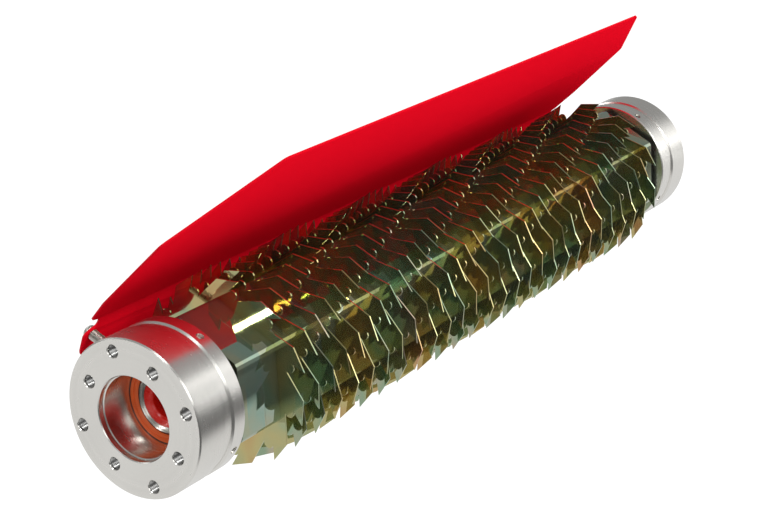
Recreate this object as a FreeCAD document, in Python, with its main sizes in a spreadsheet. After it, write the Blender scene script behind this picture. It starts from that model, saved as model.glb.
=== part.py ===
import FreeCAD, Part
import math
import os
import Sketcher
from FreeCAD import Placement, Rotation, Vector

# Verticutter reel cassette: a hexagonal shaft carries a row of thin toothed
# blades with hexagonal spacers between them, and turns in two bearing housings.
# A bent sheet shield stands on two posts behind the reel.
#
# Frame: the origin is the centre of the left housing's outer face, +X runs along
# the reel's axis to the right housing, +Z is up and -Y is the front. Angles are
# counted about +X from +Y towards +Z.

SIZES = (
    ("reel_gap", 565.0, "clear width between the two housings"),
    # bearing housing, places counted from its outer face
    ("housing_radius", 50.0, "outside of a housing"),
    ("housing_length", 42.0, "length of a housing along the axis"),
    ("housing_chamfer", 0.8, "chamfer round the outer and inner rims"),
    ("groove_place", 22.5, "start of the clamp groove"),
    ("groove_width", 9.0, "width of the clamp groove"),
    ("groove_depth", 1.2, "depth of the clamp groove"),
    ("bore_radius", 26.0, "pilot bore in front of the seal"),
    ("seat_radius", 25.5, "bore that seats seal and bearing"),
    ("bore_lip", 1.2, "rounded lip at the mouth of the bore"),
    ("seal_place", 27.5, "outer face of the shaft seal"),
    ("seal_length", 6.5, "length of the shaft seal"),
    ("fixing_turn", 26.5, "angle of the inner bolts, lock screws and hexagons"),
    ("post_turn", 24.0, "angle of the shield posts, square to the lower flange"),
    ("outer_bolt_turn", 71.5, "angle of the first outer bolt hole"),
    ("outer_bolt_circle", 84.0, "pitch diameter of the outer bolt holes"),
    ("inner_bolt_circle", 73.0, "pitch diameter of the inner bolt holes"),
    ("bolt_hole_radius", 3.4, "tapping hole for M8"),
    ("bolt_hole_depth", 18.0, "depth of a bolt hole"),
    ("lock_place", 36.5, "radial lock holes, from the outer face"),
    ("lock_hole_radius", 2.5, "radial lock hole for M5"),
    ("lock_screw_inset", 1.2, "how far a lock screw sits below the rim"),
    ("screw_clearance", 0.05, "play of a screw in its hole"),
    # running parts
    ("running_play", 0.05, "radial play of the journal in seal and bearing"),
    ("journal_radius", 20.0, "journal that turns in the bearing"),
    ("journal_setback", 0.5, "journal end behind the seal's face"),
    ("journal_grip", 40.0, "length of journal inside the hexagonal shaft"),
    ("socket_radius", 15.6, "bore of the journal for the drive insert"),
    ("socket_depth", 18.0, "depth of that bore"),
    ("insert_bore_radius", 9.5, "round drive hole in the insert"),
    ("insert_recess", 1.5, "step round the mouth of the drive hole"),
    # hexagonal shaft and spacers
    ("shaft_flats", 56.0, "hexagonal shaft across flats"),
    ("shaft_turned_radius", 31.6, "turned corners of the shaft"),
    ("shaft_play", 5.0, "gap from the shaft's end to a housing"),
    ("drum_flats", 84.0, "hexagonal spacers across flats"),
    ("drum_turned_radius", 47.7, "turned corners of the spacers"),
    ("drum_wall", 4.0, "wall of a spacer"),
    # blades
    ("blade_count", 32, "number of blades"),
    ("blade_pitch", 15.65, "from one blade to the next"),
    ("blade_thickness", 1.0, "thickness of a blade"),
    ("blade_place", 85.0, "left face of the first blade"),
    ("blade_hole_play", 0.1, "play of a blade on the shaft, each side"),
    ("tooth_count", 11, "teeth of one blade"),
    ("tooth_turn", 4.2, "angle of the first blade's first tip"),
    ("tip_radius", 62.8, "tip of a tooth"),
    ("heel_radius", 60.5, "corner behind the tip"),
    ("heel_turn", 15.4, "angle from tip to corner"),
    ("gullet_radius", 3.5, "round bottom between two teeth"),
    ("gullet_place", 52.15, "centre of that round, from the axis"),
    ("gullet_turn", 3.35, "how far that centre lies under the tip"),
    # shield
    ("sheet", 1.5, "thickness of the shield"),
    ("plate_turn", 44.9, "angle at which the main plate faces away"),
    ("plate_distance", 67.8, "axis to the front of the main plate"),
    ("plate_top", 132.4, "top edge, up the plate from the foot of its normal"),
    ("plate_shoulder", 70.0, "start of the slanted upper corners"),
    ("plate_low_inset", 32.3, "side edge at the bend, from the end of the cassette"),
    ("plate_waist", 8.0, "height at which the side edge turns in to the bend"),
    ("plate_waist_inset", 27.0, "side edge at that height"),
    ("plate_side_inset", 29.8, "side edge at the shoulder"),
    ("plate_top_inset", 94.0, "upper corner at the top edge"),
    ("plate_corner", 9.0, "rounding of the plate's corners"),
    ("flange_distance", 67.9, "axis to the front of the lower flange"),
    ("flange_length", 31.0, "lower flange, down from the bend"),
    ("bend_radius", 3.0, "inner radius of the bend"),
    ("flange_drop", 11.0, "upper corner of the flange, down from the bend"),
    ("flange_inset", 29.1, "side edge at that corner"),
    ("flange_low_inset", 32.0, "side edge at the lower edge of the flange"),
    ("flange_corner", 3.0, "rounding of the flange's upper corner"),
    ("notch_drop", 4.2, "middle of the notch beside the bend, down from the bend"),
    ("notch_place", 36.1, "centre of the notch's round end"),
    ("notch_radius", 3.5, "half the width of the notch"),
    # shield posts
    ("post_radius", 3.5, "post between housing and flange"),
    ("post_tenon", 9.0, "threaded foot of a post in the lock hole"),
    ("post_thread_depth", 9.0, "tapped hole in a post"),
    ("head_radius", 4.6, "head of the shield's screw"),
    ("head_height", 2.7, "height of that head"),
    ("key_radius", 1.5, "key socket in a screw"),
    ("key_depth", 1.6, "depth of a key socket"),
)

doc = FreeCAD.newDocument("verticutter")
sizes = doc.addObject("Spreadsheet::Sheet", "sizes")
for row, (alias, value, note) in enumerate(SIZES, start=1):
    sizes.set(f"A{row}", alias)
    sizes.set(f"B{row}", str(value))
    sizes.setAlias(f"B{row}", alias)
    sizes.set(f"C{row}", note)
doc.recompute()


def number(expression):
    """The present value of an expression on the sheet."""
    result = sizes.evalExpression(expression)
    return float(getattr(result, "Value", result))


def bind(thing, **expressions):
    """Tie properties to the sheet; a double underscore stands for a point."""
    for name, expression in expressions.items():
        thing.setExpression(name.replace("__", "."), expression)


def place(thing, turn=None, **expressions):
    """Turn a thing about +X, then tie its base point to the sheet."""
    if turn is not None:
        thing.Placement = Placement(Vector(), Rotation(Vector(1, 0, 0), number(turn)))
        thing.setExpression("Placement.Rotation.Angle", turn)
    for axis, expression in expressions.items():
        thing.setExpression(f"Placement.Base.{axis}", expression)


# ---------------------------------------------------------------- sketching

def origin_part(body, role):
    return next(f for f in body.Origin.OriginFeatures if f.Role == role)


def new_body(label):
    body = doc.addObject("PartDesign::Body", label)
    body.Label = label
    return body


def sketch_on(body, role, name):
    sketch = body.newObject("Sketcher::SketchObject", name)
    sketch.AttachmentSupport = [(origin_part(body, role), "")]
    sketch.MapMode = "FlatFace"
    return sketch


def fix_point(sketch, edge, end, point):
    """Tie one end of an edge to two expressions; "0" puts it on the axis."""
    for kind, axis, expression in (("DistanceX", -2, point[0]), ("DistanceY", -1, point[1])):
        if expression == "0":
            sketch.addConstraint(Sketcher.Constraint("PointOnObject", edge, end, axis))
            continue
        index = sketch.addConstraint(
            Sketcher.Constraint(kind, -1, 1, edge, end, number(expression)))
        sketch.setExpression(f"Constraints[{index}]", expression)


def vector(point):
    return Vector(number(point[0]), number(point[1]), 0)


def outline(sketch, points):
    """A closed outline of straight edges through tied points."""
    first = sketch.GeometryCount
    count = len(points)
    for i in range(count):
        edge = Part.LineSegment(vector(points[i]), vector(points[(i + 1) % count]))
        sketch.addGeometry(edge, False)
    for i in range(count):
        after = first + (i + 1) % count
        sketch.addConstraint(Sketcher.Constraint("Coincident", first + i, 2, after, 1))
        fix_point(sketch, first + i, 1, points[i])


def polar(radius, angle):
    return (f"({radius}) * cos(({angle}) * 1 deg)", f"({radius}) * sin(({angle}) * 1 deg)")


def pad(body, sketch, length):
    feature = body.newObject("PartDesign::Pad", sketch.Name + "_pad")
    feature.Profile = sketch
    bind(feature, Length=length)
    doc.recompute()
    return feature


def turned(label, points, role="XY_Plane", axis="H_Axis"):
    """A body turned from a closed profile about one sketch axis."""
    body = new_body(label)
    profile = sketch_on(body, role, label + "_profile")
    outline(profile, points)
    turning = body.newObject("PartDesign::Revolution", label + "_turning")
    turning.Profile = profile
    turning.ReferenceAxis = (profile, [axis])
    turning.Angle = 360.0
    doc.recompute()
    return body


def around(body, features, count, name):
    """Repeat features about the reel's axis."""
    pattern = body.newObject("PartDesign::PolarPattern", name)
    pattern.Originals = features
    pattern.Axis = (origin_part(body, "X_Axis"), [""])
    pattern.Angle = 360.0
    if isinstance(count, str):
        bind(pattern, Occurrences=count)
    else:
        pattern.Occurrences = count
    body.Tip = pattern
    doc.recompute()
    return pattern


def mirrored(source, label):
    """The right end's copy of a left end piece, across the middle of the gap."""
    copy = doc.addObject("Part::Mirroring", label)
    copy.Label = label
    copy.Source = source
    copy.Normal = Vector(1, 0, 0)
    bind(copy, Base__x=MIDDLE)
    return copy


def gathered(label, pieces):
    """Separate pieces that are kept as one node."""
    group = doc.addObject("Part::Compound", label)
    group.Label = label
    group.Links = pieces
    return group


def edges_where(shape, test):
    return [f"Edge{i}" for i, edge in enumerate(shape.Edges, start=1) if test(edge)]


MIDDLE = "sizes.housing_length + sizes.reel_gap / 2"
BOTH_ENDS = "2 * (" + MIDDLE + ")"


# ---------------------------------------------------------------- housings

def housing(label):
    """Turned ring with a clamp groove, two bolt circles and four lock holes."""
    rim = "sizes.housing_radius"
    floor = "sizes.housing_radius - sizes.groove_depth"
    chamfer = "sizes.housing_chamfer"
    groove_end = "sizes.groove_place + sizes.groove_width"
    body = turned(label, [
        ("0", "sizes.bore_radius + sizes.bore_lip"),
        ("0", f"{rim} - {chamfer}"),
        (chamfer, rim),
        ("sizes.groove_place", rim),
        ("sizes.groove_place + sizes.groove_depth", floor),
        (f"{groove_end} - sizes.groove_depth", floor),
        (groove_end, rim),
        (f"sizes.housing_length - {chamfer}", rim),
        ("sizes.housing_length", f"{rim} - {chamfer}"),
        ("sizes.housing_length", "sizes.seat_radius"),
        ("sizes.seal_place", "sizes.seat_radius"),
        ("sizes.seal_place", "sizes.bore_radius"),
        ("sizes.bore_lip", "sizes.bore_radius"),
    ])
    for name, circle, turn in (
            ("outer_bolts", "sizes.outer_bolt_circle / 2", "sizes.outer_bolt_turn"),
            ("inner_bolts", "sizes.inner_bolt_circle / 2", "sizes.fixing_turn")):
        y, z = polar(circle, turn)
        hole = body.newObject("PartDesign::SubtractiveCylinder", name + "_hole")
        hole.Placement = Placement(Vector(), Rotation(Vector(0, 1, 0), 90))
        bind(hole, Radius="sizes.bolt_hole_radius", Height="sizes.bolt_hole_depth",
             Placement__Base__y=y, Placement__Base__z=z)
        doc.recompute()
        around(body, [hole], 4, name)
    for name, turn in (("post_hole", "sizes.post_turn"),
                       ("front_lock_hole", "sizes.fixing_turn + 90"),
                       ("near_lock_hole", "sizes.fixing_turn + 180"),
                       ("low_lock_hole", "sizes.fixing_turn + 270")):
        lock = body.newObject("PartDesign::SubtractiveCylinder", name)
        place(lock, turn=f"{turn} - 90", x="sizes.lock_place")
        bind(lock, Radius="sizes.lock_hole_radius", Height="sizes.housing_radius")
        doc.recompute()
    return body


def ring(label, start, end, inner, outer):
    return turned(label, [(start, inner), (start, outer), (end, outer), (end, inner)])


# ---------------------------------------------------------------- running parts

def journal(label):
    """Stub that turns in the bearing, bored at its outer end for the insert."""
    start = "sizes.seal_place + sizes.journal_setback"
    floor = f"{start} + sizes.socket_depth"
    end = f"{SHAFT_START} + sizes.journal_grip"
    return turned(label, [
        (start, "sizes.socket_radius"),
        (start, "sizes.journal_radius"),
        (end, "sizes.journal_radius"),
        (end, "0"),
        (floor, "0"),
        (floor, "sizes.socket_radius"),
    ])


def drive_insert(label):
    start = "sizes.seal_place + sizes.journal_setback"
    end = f"{start} + sizes.socket_depth"
    hole = "sizes.insert_bore_radius"
    return turned(label, [
        (start, f"{hole} + sizes.insert_recess"),
        (start, "sizes.socket_radius"),
        (end, "sizes.socket_radius"),
        (end, hole),
        (f"{start} + sizes.insert_recess", hole),
    ])


def hexagon_bar(name, flats, turned_radius, start, length):
    """Hexagonal bar along X with its corners turned round."""
    prism = doc.addObject("Part::Prism", name + "_hexagon")
    prism.Polygon = 6
    turn = Rotation(Vector(1, 0, 0), number("sizes.fixing_turn"))
    # the prism's first corner lies on its own X axis, which becomes the row's +Y
    upright = Rotation(Vector(0, 1, 0), Vector(0, 0, 1), Vector(1, 0, 0), "XYZ")
    prism.Placement = Placement(Vector(), turn.multiply(upright))
    bind(prism, Circumradius=f"({flats}) / sqrt(3)", Height=length,
         Placement__Base__x=start)
    if turned_radius is None:
        return prism
    bar = doc.addObject("Part::Cylinder", name + "_bar")
    bar.Placement = Placement(Vector(), Rotation(Vector(0, 1, 0), 90))
    bind(bar, Radius=turned_radius, Height=length, Placement__Base__x=start)
    both = doc.addObject("Part::Common", name + "_turned")
    both.Base = prism
    both.Tool = bar
    return both


def cut(label, base, tool):
    result = doc.addObject("Part::Cut", label)
    result.Label = label
    result.Base = base
    result.Tool = tool
    return result


def shaft(label):
    """Hexagonal shaft, bored through to the journals' size."""
    length = f"{SHAFT_END} - {SHAFT_START}"
    bar = hexagon_bar(label, "sizes.shaft_flats", "sizes.shaft_turned_radius",
                      SHAFT_START, length)
    bore = doc.addObject("Part::Cylinder", label + "_bore")
    bore.Placement = Placement(Vector(), Rotation(Vector(0, 1, 0), 90))
    bind(bore, Radius="sizes.journal_radius", Height=length, Placement__Base__x=SHAFT_START)
    return cut(label, bar, bore)


SHAFT_START = "(sizes.housing_length + sizes.shaft_play)"
SHAFT_END = "(sizes.housing_length + sizes.reel_gap - sizes.shaft_play)"
STACK_START = "(sizes.blade_place - sizes.blade_pitch + sizes.blade_thickness)"
STACK_END = "(sizes.blade_place + sizes.blade_count * sizes.blade_pitch)"


def blade_face(index):
    return f"sizes.blade_place + {index} * sizes.blade_pitch"


def spacers(label):
    """Hexagonal tube, parted by the blades into one spacer for each gap."""
    length = f"{STACK_END} - {STACK_START}"
    outside = hexagon_bar(label, "sizes.drum_flats", "sizes.drum_turned_radius",
                          STACK_START, length)
    inside = hexagon_bar(label + "_inside", "sizes.drum_flats - 2 * sizes.drum_wall",
                         None, STACK_START, length)
    tube = cut(label + "_tube", outside, inside)
    slots = []
    for i in range(int(number("sizes.blade_count"))):
        slot = doc.addObject("Part::Cylinder", f"slot_{i + 1:02d}")
        slot.Placement = Placement(Vector(), Rotation(Vector(0, 1, 0), 90))
        bind(slot, Radius="sizes.tip_radius", Height="sizes.blade_thickness",
             Placement__Base__x=blade_face(i))
        slots.append(slot)
    comb = doc.addObject("Part::Compound", "slots")
    comb.Links = slots
    return cut(label, tube, comb)


def end_spacer(label, start, end):
    """Thick hexagonal spacer between the stack and a housing, seated on the shaft."""
    length = f"{end} - {start}"
    outside = hexagon_bar(label, "sizes.drum_flats", "sizes.drum_turned_radius", start, length)
    hole = hexagon_bar(label + "_hole", "sizes.shaft_flats + 2 * sizes.blade_hole_play",
                       None, start, length)
    return cut(label, outside, hole)


# ---------------------------------------------------------------- blades

WEB_RADIUS = "(sizes.gullet_place - sizes.gullet_radius - sizes.blade_thickness / 2)"


def tangent_point(point, centre, radius, side):
    """Where the line from a point touches a circle, on the given side."""
    line = point - centre
    angle = math.atan2(line.y, line.x) + side * math.acos(radius / line.Length)
    return centre + Vector(radius * math.cos(angle), radius * math.sin(angle), 0)


def round_edge(centre, radius, start, end):
    """The shorter arc between two points of a circle, and its entry and exit ends."""
    angles = [math.atan2(p.y - centre.y, p.x - centre.x) for p in (start, end)]
    ends = (1, 2)
    if (angles[1] - angles[0]) % (2 * math.pi) > math.pi:
        angles.reverse()
        ends = (2, 1)
    circle = Part.Circle(centre, Vector(0, 0, 1), radius)
    return Part.ArcOfCircle(circle, angles[0], angles[1]), ends


def blade(label):
    """Thin plate with hooked teeth and a hexagonal hole, its left face at X = 0."""
    body = new_body(label)
    web = sketch_on(body, "YZ_Plane", "web")
    web.addGeometry(Part.Circle(Vector(), Vector(0, 0, 1), number(WEB_RADIUS)), False)
    web.addConstraint(Sketcher.Constraint("Coincident", 0, 3, -1, 1))
    size = web.addConstraint(Sketcher.Constraint("Radius", 0, number(WEB_RADIUS)))
    web.setExpression(f"Constraints[{size}]", WEB_RADIUS)
    corner = "(sizes.shaft_flats + 2 * sizes.blade_hole_play) / sqrt(3)"
    outline(web, [polar(corner, f"sizes.fixing_turn + {60 * i}") for i in range(6)])
    pad(body, web, "sizes.blade_thickness")

    tooth = sketch_on(body, "YZ_Plane", "tooth")
    step = "360 / sizes.tooth_count"
    tip = "sizes.tooth_turn"
    front = f"{tip} - sizes.gullet_turn"
    back = f"{front} - {step}"
    bottom = "sizes.gullet_place - sizes.gullet_radius"
    inside = f"{WEB_RADIUS} - sizes.blade_thickness"
    corners = [
        polar(bottom, front),
        polar("sizes.tip_radius", tip),
        polar("sizes.heel_radius", f"{tip} - sizes.heel_turn"),
        polar(bottom, back),
        polar(inside, back),
        polar(inside, front),
    ]
    points = [vector(corner) for corner in corners]
    radius = number("sizes.gullet_radius")
    centres = [vector(polar("sizes.gullet_place", turn)) for turn in (front, back)]
    face_end = tangent_point(points[1], centres[0], radius, -1)
    flank_end = tangent_point(points[2], centres[1], radius, 1)
    front_round, front_ends = round_edge(centres[0], radius, points[0], face_end)
    back_round, back_ends = round_edge(centres[1], radius, flank_end, points[3])
    edges = [
        (front_round, front_ends),
        (Part.LineSegment(face_end, points[1]), (1, 2)),
        (Part.LineSegment(points[1], points[2]), (1, 2)),
        (Part.LineSegment(points[2], flank_end), (1, 2)),
        (back_round, back_ends),
        (Part.LineSegment(points[3], points[4]), (1, 2)),
        (Part.LineSegment(points[4], points[5]), (1, 2)),
        (Part.LineSegment(points[5], points[0]), (1, 2)),
    ]
    for edge, ends in edges:
        tooth.addGeometry(edge, False)
    for i, (edge, ends) in enumerate(edges):
        after = (i + 1) % len(edges)
        kind = "Tangent" if i in (0, 3) else "Coincident"
        tooth.addConstraint(
            Sketcher.Constraint(kind, i, ends[1], after, edges[after][1][0]))
    for edge, end, corner in ((1, 2, 1), (2, 2, 2), (5, 1, 3), (5, 2, 4), (6, 2, 5), (7, 2, 0)):
        fix_point(tooth, edge, end, corners[corner])
    for arc, turn in ((0, front), (4, back)):
        fix_point(tooth, arc, 3, polar("sizes.gullet_place", turn))
    feature = pad(body, tooth, "sizes.blade_thickness")
    around(body, [feature], "sizes.tooth_count", "teeth")
    return body


def blade_row(label, master):
    """All blades, each a sixth of a turn on from the one before."""
    row = []
    for i in range(int(number("sizes.blade_count"))):
        link = doc.addObject("App::Link", f"blade_{i + 1:02d}")
        link.LinkedObject = master
        link.LinkTransform = False
        link.Placement = Placement(Vector(), Rotation(Vector(1, 0, 0), 60 * i))
        bind(link, Placement__Base__x=blade_face(i))
        row.append(link)
    return gathered(label, row)


# ---------------------------------------------------------------- shield

BEND = "(sizes.plate_turn - sizes.post_turn)"


def shield(label):
    """Bent sheet: a flat plate above a narrow flange, with slanted upper corners.

    In the body's own frame +X is the reel's axis, +Y runs up the plate and +Z
    looks from the plate towards the reel.
    """
    body = new_body(label)
    place(body, turn="sizes.plate_turn + 90")
    profile = sketch_on(body, "YZ_Plane", "profile")
    cosine = f"cos({BEND} * 1 deg)"
    sine = f"sin({BEND} * 1 deg)"
    front = "sizes.plate_distance"
    rear = "(sizes.plate_distance + sizes.sheet)"
    bend_front = f"(({front} * {cosine} - sizes.flange_distance) / {sine})"
    bend_rear = f"(({rear} * {cosine} - sizes.flange_distance - sizes.sheet) / {sine})"
    low = f"({bend_front} - sizes.flange_length * {cosine})"
    low_height = f"(sizes.flange_length * {sine} - {front})"
    outline(profile, [
        ("sizes.plate_top", f"-{front}"),
        (bend_front, f"-{front}"),
        (low, low_height),
        (f"{low} - sizes.sheet * {sine}", f"{low_height} - sizes.sheet * {cosine}"),
        (bend_rear, f"-{rear}"),
        ("sizes.plate_top", f"-{rear}"),
    ])
    blank = pad(body, profile, BOTH_ENDS)

    def runs_along_bend(y, z):
        def test(edge):
            middle = edge.CenterOfMass
            return (abs(edge.BoundBox.XLength - number(BOTH_ENDS)) < 1e-6
                    and math.hypot(middle.y - y, middle.z - z) < 1e-6)
        return test

    for name, y, z, radius in (
            ("inner_bend", bend_front, f"-{front}", "sizes.bend_radius"),
            ("outer_bend", bend_rear, f"-{rear}", "sizes.bend_radius + sizes.sheet")):
        # the body's shape is in its own frame here, as its features are
        base = body.Tip
        rounding = body.newObject("PartDesign::Fillet", name)
        found = edges_where(base.Shape, runs_along_bend(number(y), number(z)))
        rounding.Base = (base, found)
        bind(rounding, Radius=radius)
        doc.recompute()

    trim = sketch_on(body, "XY_Plane", "trim")
    notch_middle = f"{bend_front} - sizes.notch_drop"
    half = [
        ("sizes.flange_low_inset", f"{low} - sizes.sheet"),
        ("sizes.flange_inset", f"{bend_front} - sizes.flange_drop"),
        ("sizes.notch_place", f"{notch_middle} - sizes.notch_radius"),
        ("sizes.notch_place", f"{notch_middle} + sizes.notch_radius"),
        ("sizes.plate_low_inset", bend_front),
        ("sizes.plate_waist_inset", "sizes.plate_waist"),
        ("sizes.plate_side_inset", "sizes.plate_shoulder"),
        ("sizes.plate_top_inset", "sizes.plate_top"),
    ]
    other = [(f"{BOTH_ENDS} - ({x})", y) for x, y in half]
    outline(trim, half + other[::-1])
    around_it = [("-sizes.sheet", "-sizes.plate_top"), ("-sizes.sheet", "2 * sizes.plate_top"),
                 (f"{BOTH_ENDS} + sizes.sheet", "2 * sizes.plate_top"),
                 (f"{BOTH_ENDS} + sizes.sheet", "-sizes.plate_top")]
    outline(trim, around_it)
    trimming = body.newObject("PartDesign::Pocket", "trimming")
    trimming.Profile = trim
    trimming.Type = "ThroughAll"
    trimming.Midplane = True
    doc.recompute()

    def stands_on(corners):
        spots = [(number(x), number(y)) for x, y in corners]

        def test(edge):
            middle = edge.CenterOfMass
            short = edge.Length < 2 * number("sizes.sheet")
            return short and any(math.hypot(middle.x - x, middle.y - y) < number("sizes.sheet")
                                 for x, y in spots)
        return test

    for name, rounded, radius in (
            ("corners", (0, 6, 7), "sizes.plate_corner"),
            ("flange_corners", (1,), "sizes.flange_corner")):
        base = body.Tip
        corners = [side[i] for i in rounded for side in (half, other)]
        rounding = body.newObject("PartDesign::Fillet", name)
        rounding.Base = (base, edges_where(base.Shape, stands_on(corners)))
        bind(rounding, Radius=radius)
        doc.recompute()

    for name, x in (("left", "sizes.notch_place"),
                    ("right", f"{BOTH_ENDS} - sizes.notch_place")):
        notch = body.newObject("PartDesign::SubtractiveCylinder", name + "_notch")
        bind(notch, Radius="sizes.notch_radius", Height="2 * sizes.plate_distance",
             Placement__Base__x=x, Placement__Base__y=notch_middle,
             Placement__Base__z="-2 * sizes.plate_distance")
        doc.recompute()
    for name, x in (("left", "sizes.lock_place"), ("right", f"{BOTH_ENDS} - sizes.lock_place")):
        hole = body.newObject("PartDesign::SubtractiveCylinder", name + "_hole")
        place(hole, turn="sizes.post_turn - sizes.plate_turn - 180", x=x)
        bind(hole, Radius="sizes.lock_hole_radius + 2 * sizes.screw_clearance",
             Height="2 * sizes.plate_distance")
        doc.recompute()
    return body


# ---------------------------------------------------------------- posts and screws

def upright(label, points, turn, x):
    """A piece turned about a line that leaves the reel's axis at an angle."""
    body = turned(label, points, role="XZ_Plane", axis="V_Axis")
    place(body, turn=f"{turn} - 90", x=x)
    return body


def post(label):
    """Spacer post: its foot screws into a lock hole, its head carries the flange."""
    foot = "sizes.lock_hole_radius - sizes.screw_clearance"
    return upright(label, [
        ("0", "sizes.housing_radius - sizes.post_tenon"),
        (foot, "sizes.housing_radius - sizes.post_tenon"),
        (foot, "sizes.housing_radius"),
        ("sizes.post_radius", "sizes.housing_radius"),
        ("sizes.post_radius", "sizes.flange_distance"),
        ("sizes.lock_hole_radius", "sizes.flange_distance"),
        ("sizes.lock_hole_radius", "sizes.flange_distance - sizes.post_thread_depth"),
        ("0", "sizes.flange_distance - sizes.post_thread_depth"),
    ], "sizes.post_turn", "sizes.lock_place")


def shield_screw(label):
    shank = "sizes.lock_hole_radius - sizes.screw_clearance"
    seat = "sizes.flange_distance + sizes.sheet"
    top = f"{seat} + sizes.head_height"
    return upright(label, [
        ("0", "sizes.flange_distance - sizes.post_thread_depth + sizes.key_depth"),
        (shank, "sizes.flange_distance - sizes.post_thread_depth + sizes.key_depth"),
        (shank, seat),
        ("sizes.head_radius", seat),
        ("sizes.head_radius", f"{top} - sizes.head_height / 2"),
        ("sizes.head_radius - sizes.head_height / 2", top),
        ("sizes.key_radius", top),
        ("sizes.key_radius", f"{top} - sizes.key_depth"),
        ("0", f"{top} - sizes.key_depth"),
    ], "sizes.post_turn", "sizes.lock_place")


def lock_screws(label):
    """Grub screws in the three lock holes that carry no post."""
    top = "sizes.housing_radius - sizes.lock_screw_inset"
    shank = "sizes.lock_hole_radius - sizes.screw_clearance"
    screw = upright(label + "_pattern", [
        ("0", "sizes.seat_radius + sizes.running_play"),
        (shank, "sizes.seat_radius + sizes.running_play"),
        (shank, top),
        ("sizes.key_radius", top),
        ("sizes.key_radius", f"{top} - sizes.key_depth"),
        ("0", f"{top} - sizes.key_depth"),
    ], "sizes.fixing_turn", "sizes.lock_place")
    copies = []
    for quarter in (1, 2, 3):
        link = doc.addObject("App::Link", f"{label}_{quarter}")
        link.LinkedObject = screw
        link.LinkTransform = True
        link.Placement = Placement(Vector(), Rotation(Vector(1, 0, 0), 90 * quarter))
        copies.append(link)
    return gathered(label, copies)


# ---------------------------------------------------------------- the cassette

def build():
    seal_end = "sizes.seal_place + sizes.seal_length"
    ring_bore = "sizes.journal_radius + sizes.running_play"
    left_end = {
        "housing": housing("left_housing"),
        "seal": ring("left_seal", "sizes.seal_place", seal_end, ring_bore, "sizes.seat_radius"),
        "bearing": ring("left_bearing", seal_end, "sizes.housing_length", ring_bore,
                        "sizes.seat_radius"),
        "journal": journal("left_journal"),
        "drive_insert": drive_insert("left_drive_insert"),
        "shield_post": post("left_shield_post"),
        "shield_screw": shield_screw("left_shield_screw"),
        "lock_screws": lock_screws("left_lock_screws"),
    }
    pieces = list(left_end.values())
    pieces += [mirrored(piece, "right_" + name) for name, piece in left_end.items()]
    pieces += [
        shaft("hex_shaft"),
        spacers("blade_spacers"),
        end_spacer("left_end_spacer", SHAFT_START, STACK_START),
        end_spacer("right_end_spacer", STACK_END, SHAFT_END),
        blade_row("blades", blade("blade_pattern")),
        shield("shield"),
    ]
    return pieces


def write(pieces):
    doc.recompute()
    failed = [thing.Name for thing in doc.Objects
              if {"Invalid", "Error"} & set(thing.State)]
    if failed:
        raise RuntimeError("failed objects: " + ", ".join(failed))
    os.makedirs("parts", exist_ok=True)
    for piece in pieces:
        shape = Part.getShape(piece)
        if shape.isNull() or not shape.isValid() or not shape.Solids:
            raise RuntimeError("no valid solid in " + piece.Label)
        shape.exportStep(f"parts/{piece.Label}.step")
        print(piece.Label, len(shape.Solids), "solids", round(shape.Volume), "mm3")


write(build())
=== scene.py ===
"""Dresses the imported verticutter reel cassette: finishes, threads, rounded edges, a studio."""

import math

import bmesh
import bpy
from bpy.props import FloatProperty, FloatVectorProperty, IntProperty, PointerProperty
from mathutils import Matrix, Vector


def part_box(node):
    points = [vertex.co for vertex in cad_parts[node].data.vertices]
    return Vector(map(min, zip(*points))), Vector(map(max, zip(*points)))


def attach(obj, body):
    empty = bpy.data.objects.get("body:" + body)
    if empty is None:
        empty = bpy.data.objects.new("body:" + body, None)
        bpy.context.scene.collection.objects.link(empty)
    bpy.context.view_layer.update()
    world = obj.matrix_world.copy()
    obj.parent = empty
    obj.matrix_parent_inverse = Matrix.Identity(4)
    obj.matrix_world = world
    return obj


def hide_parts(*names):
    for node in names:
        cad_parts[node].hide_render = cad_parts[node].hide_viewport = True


bl_info = {
    "name": "Verticutter Reel Cassette",
    "version": (1, 0, 0),
    "blender": (4, 5, 0),
    "location": "3D View > Sidebar > Reel",
    "description": "Finishes for a verticutter reel cassette and a plain studio round it",
    "category": "Object",
}

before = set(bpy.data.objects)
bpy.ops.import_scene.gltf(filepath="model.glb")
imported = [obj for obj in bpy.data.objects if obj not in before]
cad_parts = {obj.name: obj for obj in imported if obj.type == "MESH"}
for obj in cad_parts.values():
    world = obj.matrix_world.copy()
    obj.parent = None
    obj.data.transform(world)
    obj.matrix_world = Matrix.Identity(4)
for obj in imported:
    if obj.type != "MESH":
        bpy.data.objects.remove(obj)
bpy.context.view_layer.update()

# Places along the axis and radii round it, in metres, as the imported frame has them.
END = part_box("right_housing")[1][0]
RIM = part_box("left_housing")[1][1]
HOUSING_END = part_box("left_housing")[1][0]
SEAL_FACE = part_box("left_seal")[0][0]
SEAL_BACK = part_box("left_seal")[1][0]
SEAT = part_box("left_seal")[1][1]
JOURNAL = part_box("left_journal")
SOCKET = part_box("left_drive_insert")
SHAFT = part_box("hex_shaft")
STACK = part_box("blade_spacers")
END_SPACERS = (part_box("left_end_spacer"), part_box("right_end_spacer"))
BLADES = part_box("blades")

PLAY = 0.00005   # between a turning or screwed piece and what holds it
SHARP = 30.0     # degrees from which an edge stays sharp


# ---------------------------------------------------------------- settings

def length(name, default, description):
    return FloatProperty(name=name, default=default, unit="LENGTH", description=description)


def angle(name, degrees, description):
    return FloatProperty(name=name, default=math.radians(degrees), subtype="ANGLE",
                         description=description)


def colour(name, default, description):
    return FloatVectorProperty(name=name, subtype="COLOR", size=3, min=0.0, max=1.0,
                               default=default, description=description)


def number(name, default, least, description):
    return IntProperty(name=name, default=default, min=least, description=description)


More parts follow.
